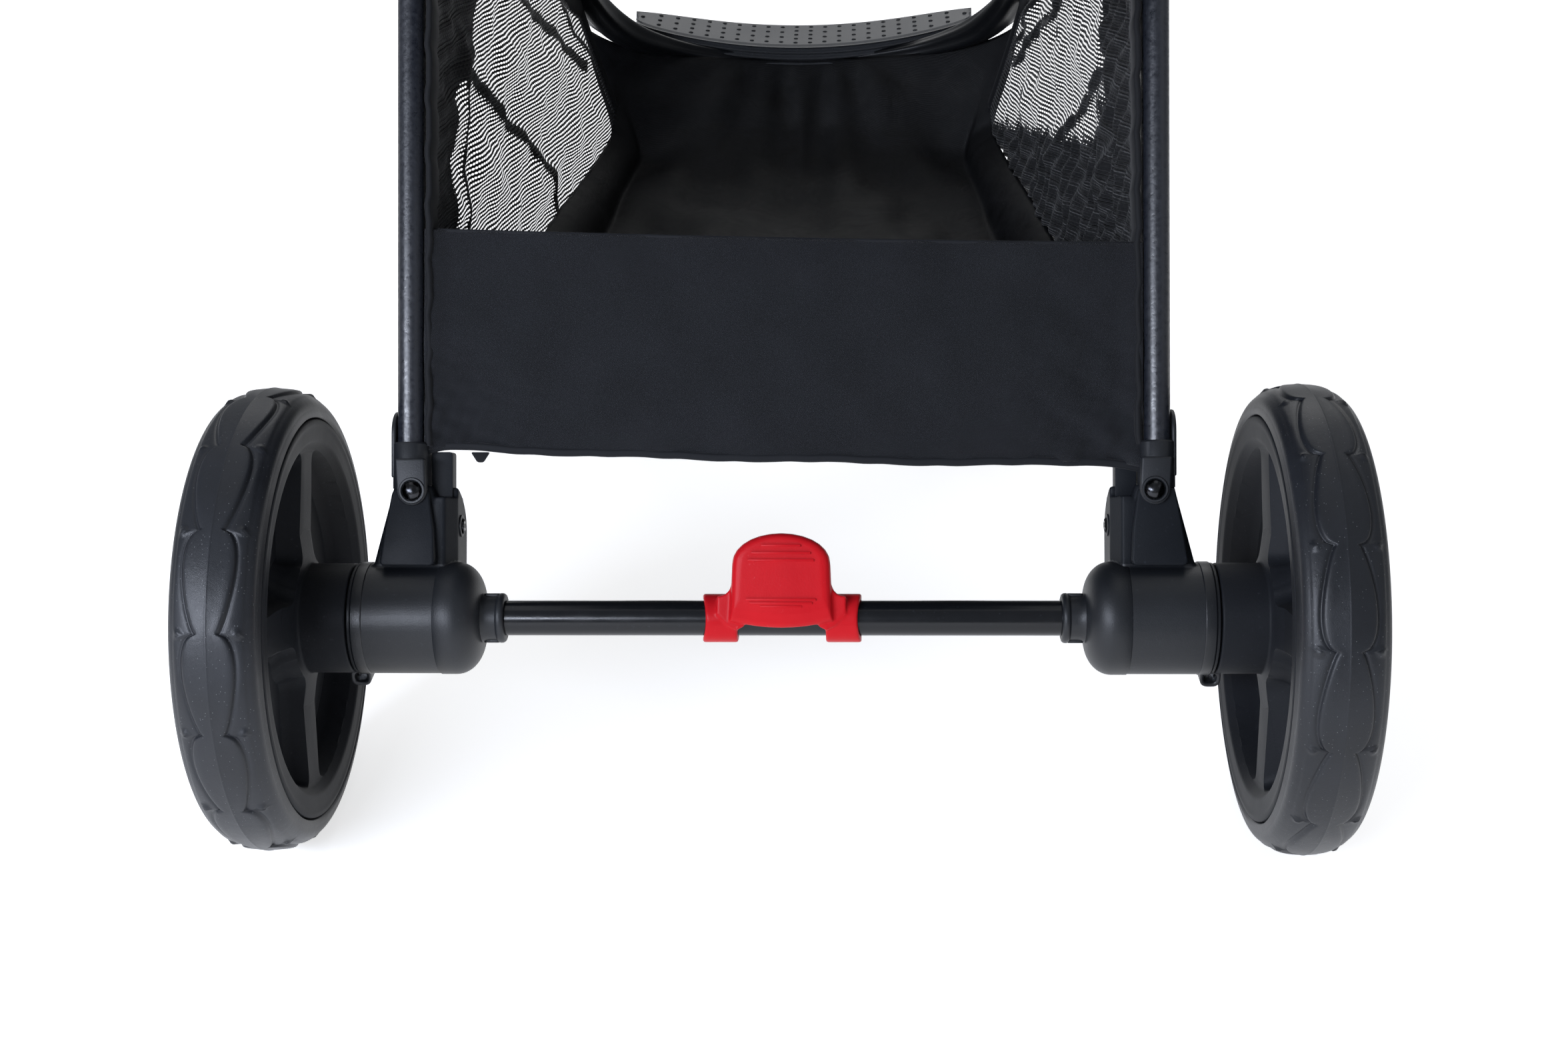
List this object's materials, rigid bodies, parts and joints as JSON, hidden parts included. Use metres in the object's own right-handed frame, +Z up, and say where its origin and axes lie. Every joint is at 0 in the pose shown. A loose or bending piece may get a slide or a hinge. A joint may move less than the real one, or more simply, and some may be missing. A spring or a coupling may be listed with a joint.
{
  "type": "pet stroller",
  "caption": "Four-wheeled folding pet stroller with foot brake, swivelling front casters, shopping basket, open pet cabin and folding canopy.",
  "frame": {"origin": "on the ground, in the middle of the object's box", "axes": "+Z up, +Y the way the stroller rolls, +X its right-hand side"},
  "size_m": [0.594, 0.835, 1.0387],
  "materials": {
    "moulded_plastic": "matte",
    "tube_paint": "fine textured dark paint",
    "tyre": "matte",
    "steel": "satin",
    "pedal_red": "satin",
    "fabric": "woven",
    "mesh_fabric": "open mesh",
    "cushion": "woven",
    "grip_foam": "foam"
  },
  "bodies": {
    "front_frame": {"frame_hub_left": "moulded_plastic", "frame_hub_right": "moulded_plastic", "front_tube": "tube_paint", "footrest": "moulded_plastic", "caster_leg_left": "moulded_plastic", "caster_leg_right": "moulded_plastic", "cabin_tub": "fabric", "floor_board": "moulded_plastic", "cabin_rim": "tube_paint", "mattress": "cushion", "canopy_panel_rear": "fabric", "basket_floor": "fabric", "basket_side_left": "mesh_fabric", "basket_side_right": "mesh_fabric"},
    "rear_frame": {"rear_leg_left": "tube_paint", "rear_leg_right": "tube_paint", "leg_hub_left": "moulded_plastic", "leg_hub_right": "moulded_plastic", "leg_socket_left": "moulded_plastic", "leg_socket_right": "moulded_plastic", "axle_housing_left": "moulded_plastic", "axle_housing_right": "moulded_plastic", "housing_cap_left": "moulded_plastic", "housing_cap_right": "moulded_plastic", "bracket_cover_left": "moulded_plastic", "bracket_cover_right": "moulded_plastic", "leg_rivet_left": "steel", "leg_rivet_right": "steel", "wheel_shaft_left": "steel", "wheel_shaft_right": "steel", "basket_rear_panel": "fabric"},
    "handle": {"handle_tube": "tube_paint", "handle_grip": "grip_foam", "handle_hub_left": "moulded_plastic", "handle_hub_right": "moulded_plastic"},
    "brake": {"brake_bar": "tube_paint", "brake_pedal": "pedal_red"},
    "canopy_middle": {"canopy_hoop_middle": "steel"},
    "canopy_front": {"canopy_hoop_front": "steel", "canopy_panel_front": "fabric"},
    "rear_wheel_left": {"rear_tyre_left": "tyre", "rear_rim_left": "moulded_plastic", "wheel_cap_left": "moulded_plastic"},
    "brake_pin_left": {"brake_pin_left": "steel"},
    "release_lever_left": {"release_lever_left": "moulded_plastic"},
    "fold_button_left": {"fold_button_left": "moulded_plastic"},
    "caster_left": {"caster_fork_left": "moulded_plastic", "caster_axle_left": "steel"},
    "front_wheel_left": {"front_tyre_left": "tyre", "front_rim_left": "moulded_plastic"},
    "rear_wheel_right": {"rear_tyre_right": "tyre", "rear_rim_right": "moulded_plastic", "wheel_cap_right": "moulded_plastic"},
    "brake_pin_right": {"brake_pin_right": "steel"},
    "release_lever_right": {"release_lever_right": "moulded_plastic"},
    "fold_button_right": {"fold_button_right": "moulded_plastic"},
    "caster_right": {"caster_fork_right": "moulded_plastic", "caster_axle_right": "steel"},
    "front_wheel_right": {"front_tyre_right": "tyre", "front_rim_right": "moulded_plastic"}
  },
  "joints": [
    {"name": "handle_fold", "type": "hinge", "parent": "front_frame", "child": "handle", "pos_m": [0, -0.0575, 0.62], "axis": [-1, 0, 0], "range_deg": [0, 150]},
    {"name": "rear_fold", "type": "hinge", "parent": "front_frame", "child": "rear_frame", "pos_m": [0, -0.0575, 0.62], "axis": [1, 0, 0], "range_deg": [0, 50], "deforming": ["basket_floor", "basket_side_left", "basket_side_right"]},
    {"name": "brake_turn", "type": "hinge", "parent": "rear_frame", "child": "brake", "pos_m": [0, -0.2925, 0.125], "axis": [1, 0, 0], "range_deg": [0, 25]},
    {"name": "canopy_middle_fold", "type": "hinge", "parent": "front_frame", "child": "canopy_middle", "pos_m": [0, -0.1625, 0.722], "axis": [1, 0, 0], "range_deg": [0, 50], "deforming": ["canopy_panel_rear"]},
    {"name": "canopy_front_fold", "type": "hinge", "parent": "canopy_middle", "child": "canopy_front", "pos_m": [0, -0.1625, 0.722], "axis": [1, 0, 0], "range_deg": [0, 50], "deforming": ["canopy_panel_front"]},
    {"name": "rear_wheel_spin_left", "type": "hinge", "parent": "rear_frame", "child": "rear_wheel_left", "pos_m": [-0.274, -0.2925, 0.125], "axis": [1, 0, 0], "continuous": true},
    {"name": "brake_pin_slide_left", "type": "slide", "parent": "rear_frame", "child": "brake_pin_left", "axis": [-1, 0, 0], "range_m": [0, 0.0066]},
    {"name": "release_lever_pull_left", "type": "slide", "parent": "rear_frame", "child": "release_lever_left", "axis": [0, 0, -1], "range_m": [0, 0.004], "stiffness_N_per_m": 400, "springref_m": -0.003},
    {"name": "fold_button_press_left", "type": "slide", "parent": "handle", "child": "fold_button_left", "axis": [1, 0, 0], "range_m": [0, 0.003], "stiffness_N_per_m": 600, "springref_m": -0.002},
    {"name": "caster_swivel_left", "type": "hinge", "parent": "front_frame", "child": "caster_left", "pos_m": [-0.125, 0.3625, 0.2], "axis": [0, 0, 1], "continuous": true},
    {"name": "front_wheel_spin_left", "type": "hinge", "parent": "caster_left", "child": "front_wheel_left", "pos_m": [-0.125, 0.3275, 0.09], "axis": [1, 0, 0], "continuous": true},
    {"name": "rear_wheel_spin_right", "type": "hinge", "parent": "rear_frame", "child": "rear_wheel_right", "pos_m": [0.274, -0.2925, 0.125], "axis": [1, 0, 0], "continuous": true},
    {"name": "brake_pin_slide_right", "type": "slide", "parent": "rear_frame", "child": "brake_pin_right", "axis": [1, 0, 0], "range_m": [0, 0.0066]},
    {"name": "release_lever_pull_right", "type": "slide", "parent": "rear_frame", "child": "release_lever_right", "axis": [0, 0, -1], "range_m": [0, 0.004], "stiffness_N_per_m": 400, "springref_m": -0.003},
    {"name": "fold_button_press_right", "type": "slide", "parent": "handle", "child": "fold_button_right", "axis": [-1, 0, 0], "range_m": [0, 0.003], "stiffness_N_per_m": 600, "springref_m": -0.002},
    {"name": "caster_swivel_right", "type": "hinge", "parent": "front_frame", "child": "caster_right", "pos_m": [0.125, 0.3625, 0.2], "axis": [0, 0, 1], "continuous": true},
    {"name": "front_wheel_spin_right", "type": "hinge", "parent": "caster_right", "child": "front_wheel_right", "pos_m": [0.125, 0.3275, 0.09], "axis": [1, 0, 0], "continuous": true}
  ],
  "couplings": [
    {"joint": "rear_fold", "follows": "handle_fold", "ratio": 0.33333},
    {"joint": "canopy_front_fold", "follows": "canopy_middle_fold", "ratio": 1},
    {"joint": "brake_pin_slide_left", "follows": "brake_turn", "m_per_rad": 0.0149},
    {"joint": "brake_pin_slide_right", "follows": "brake_turn", "m_per_rad": 0.0149}
  ]
}
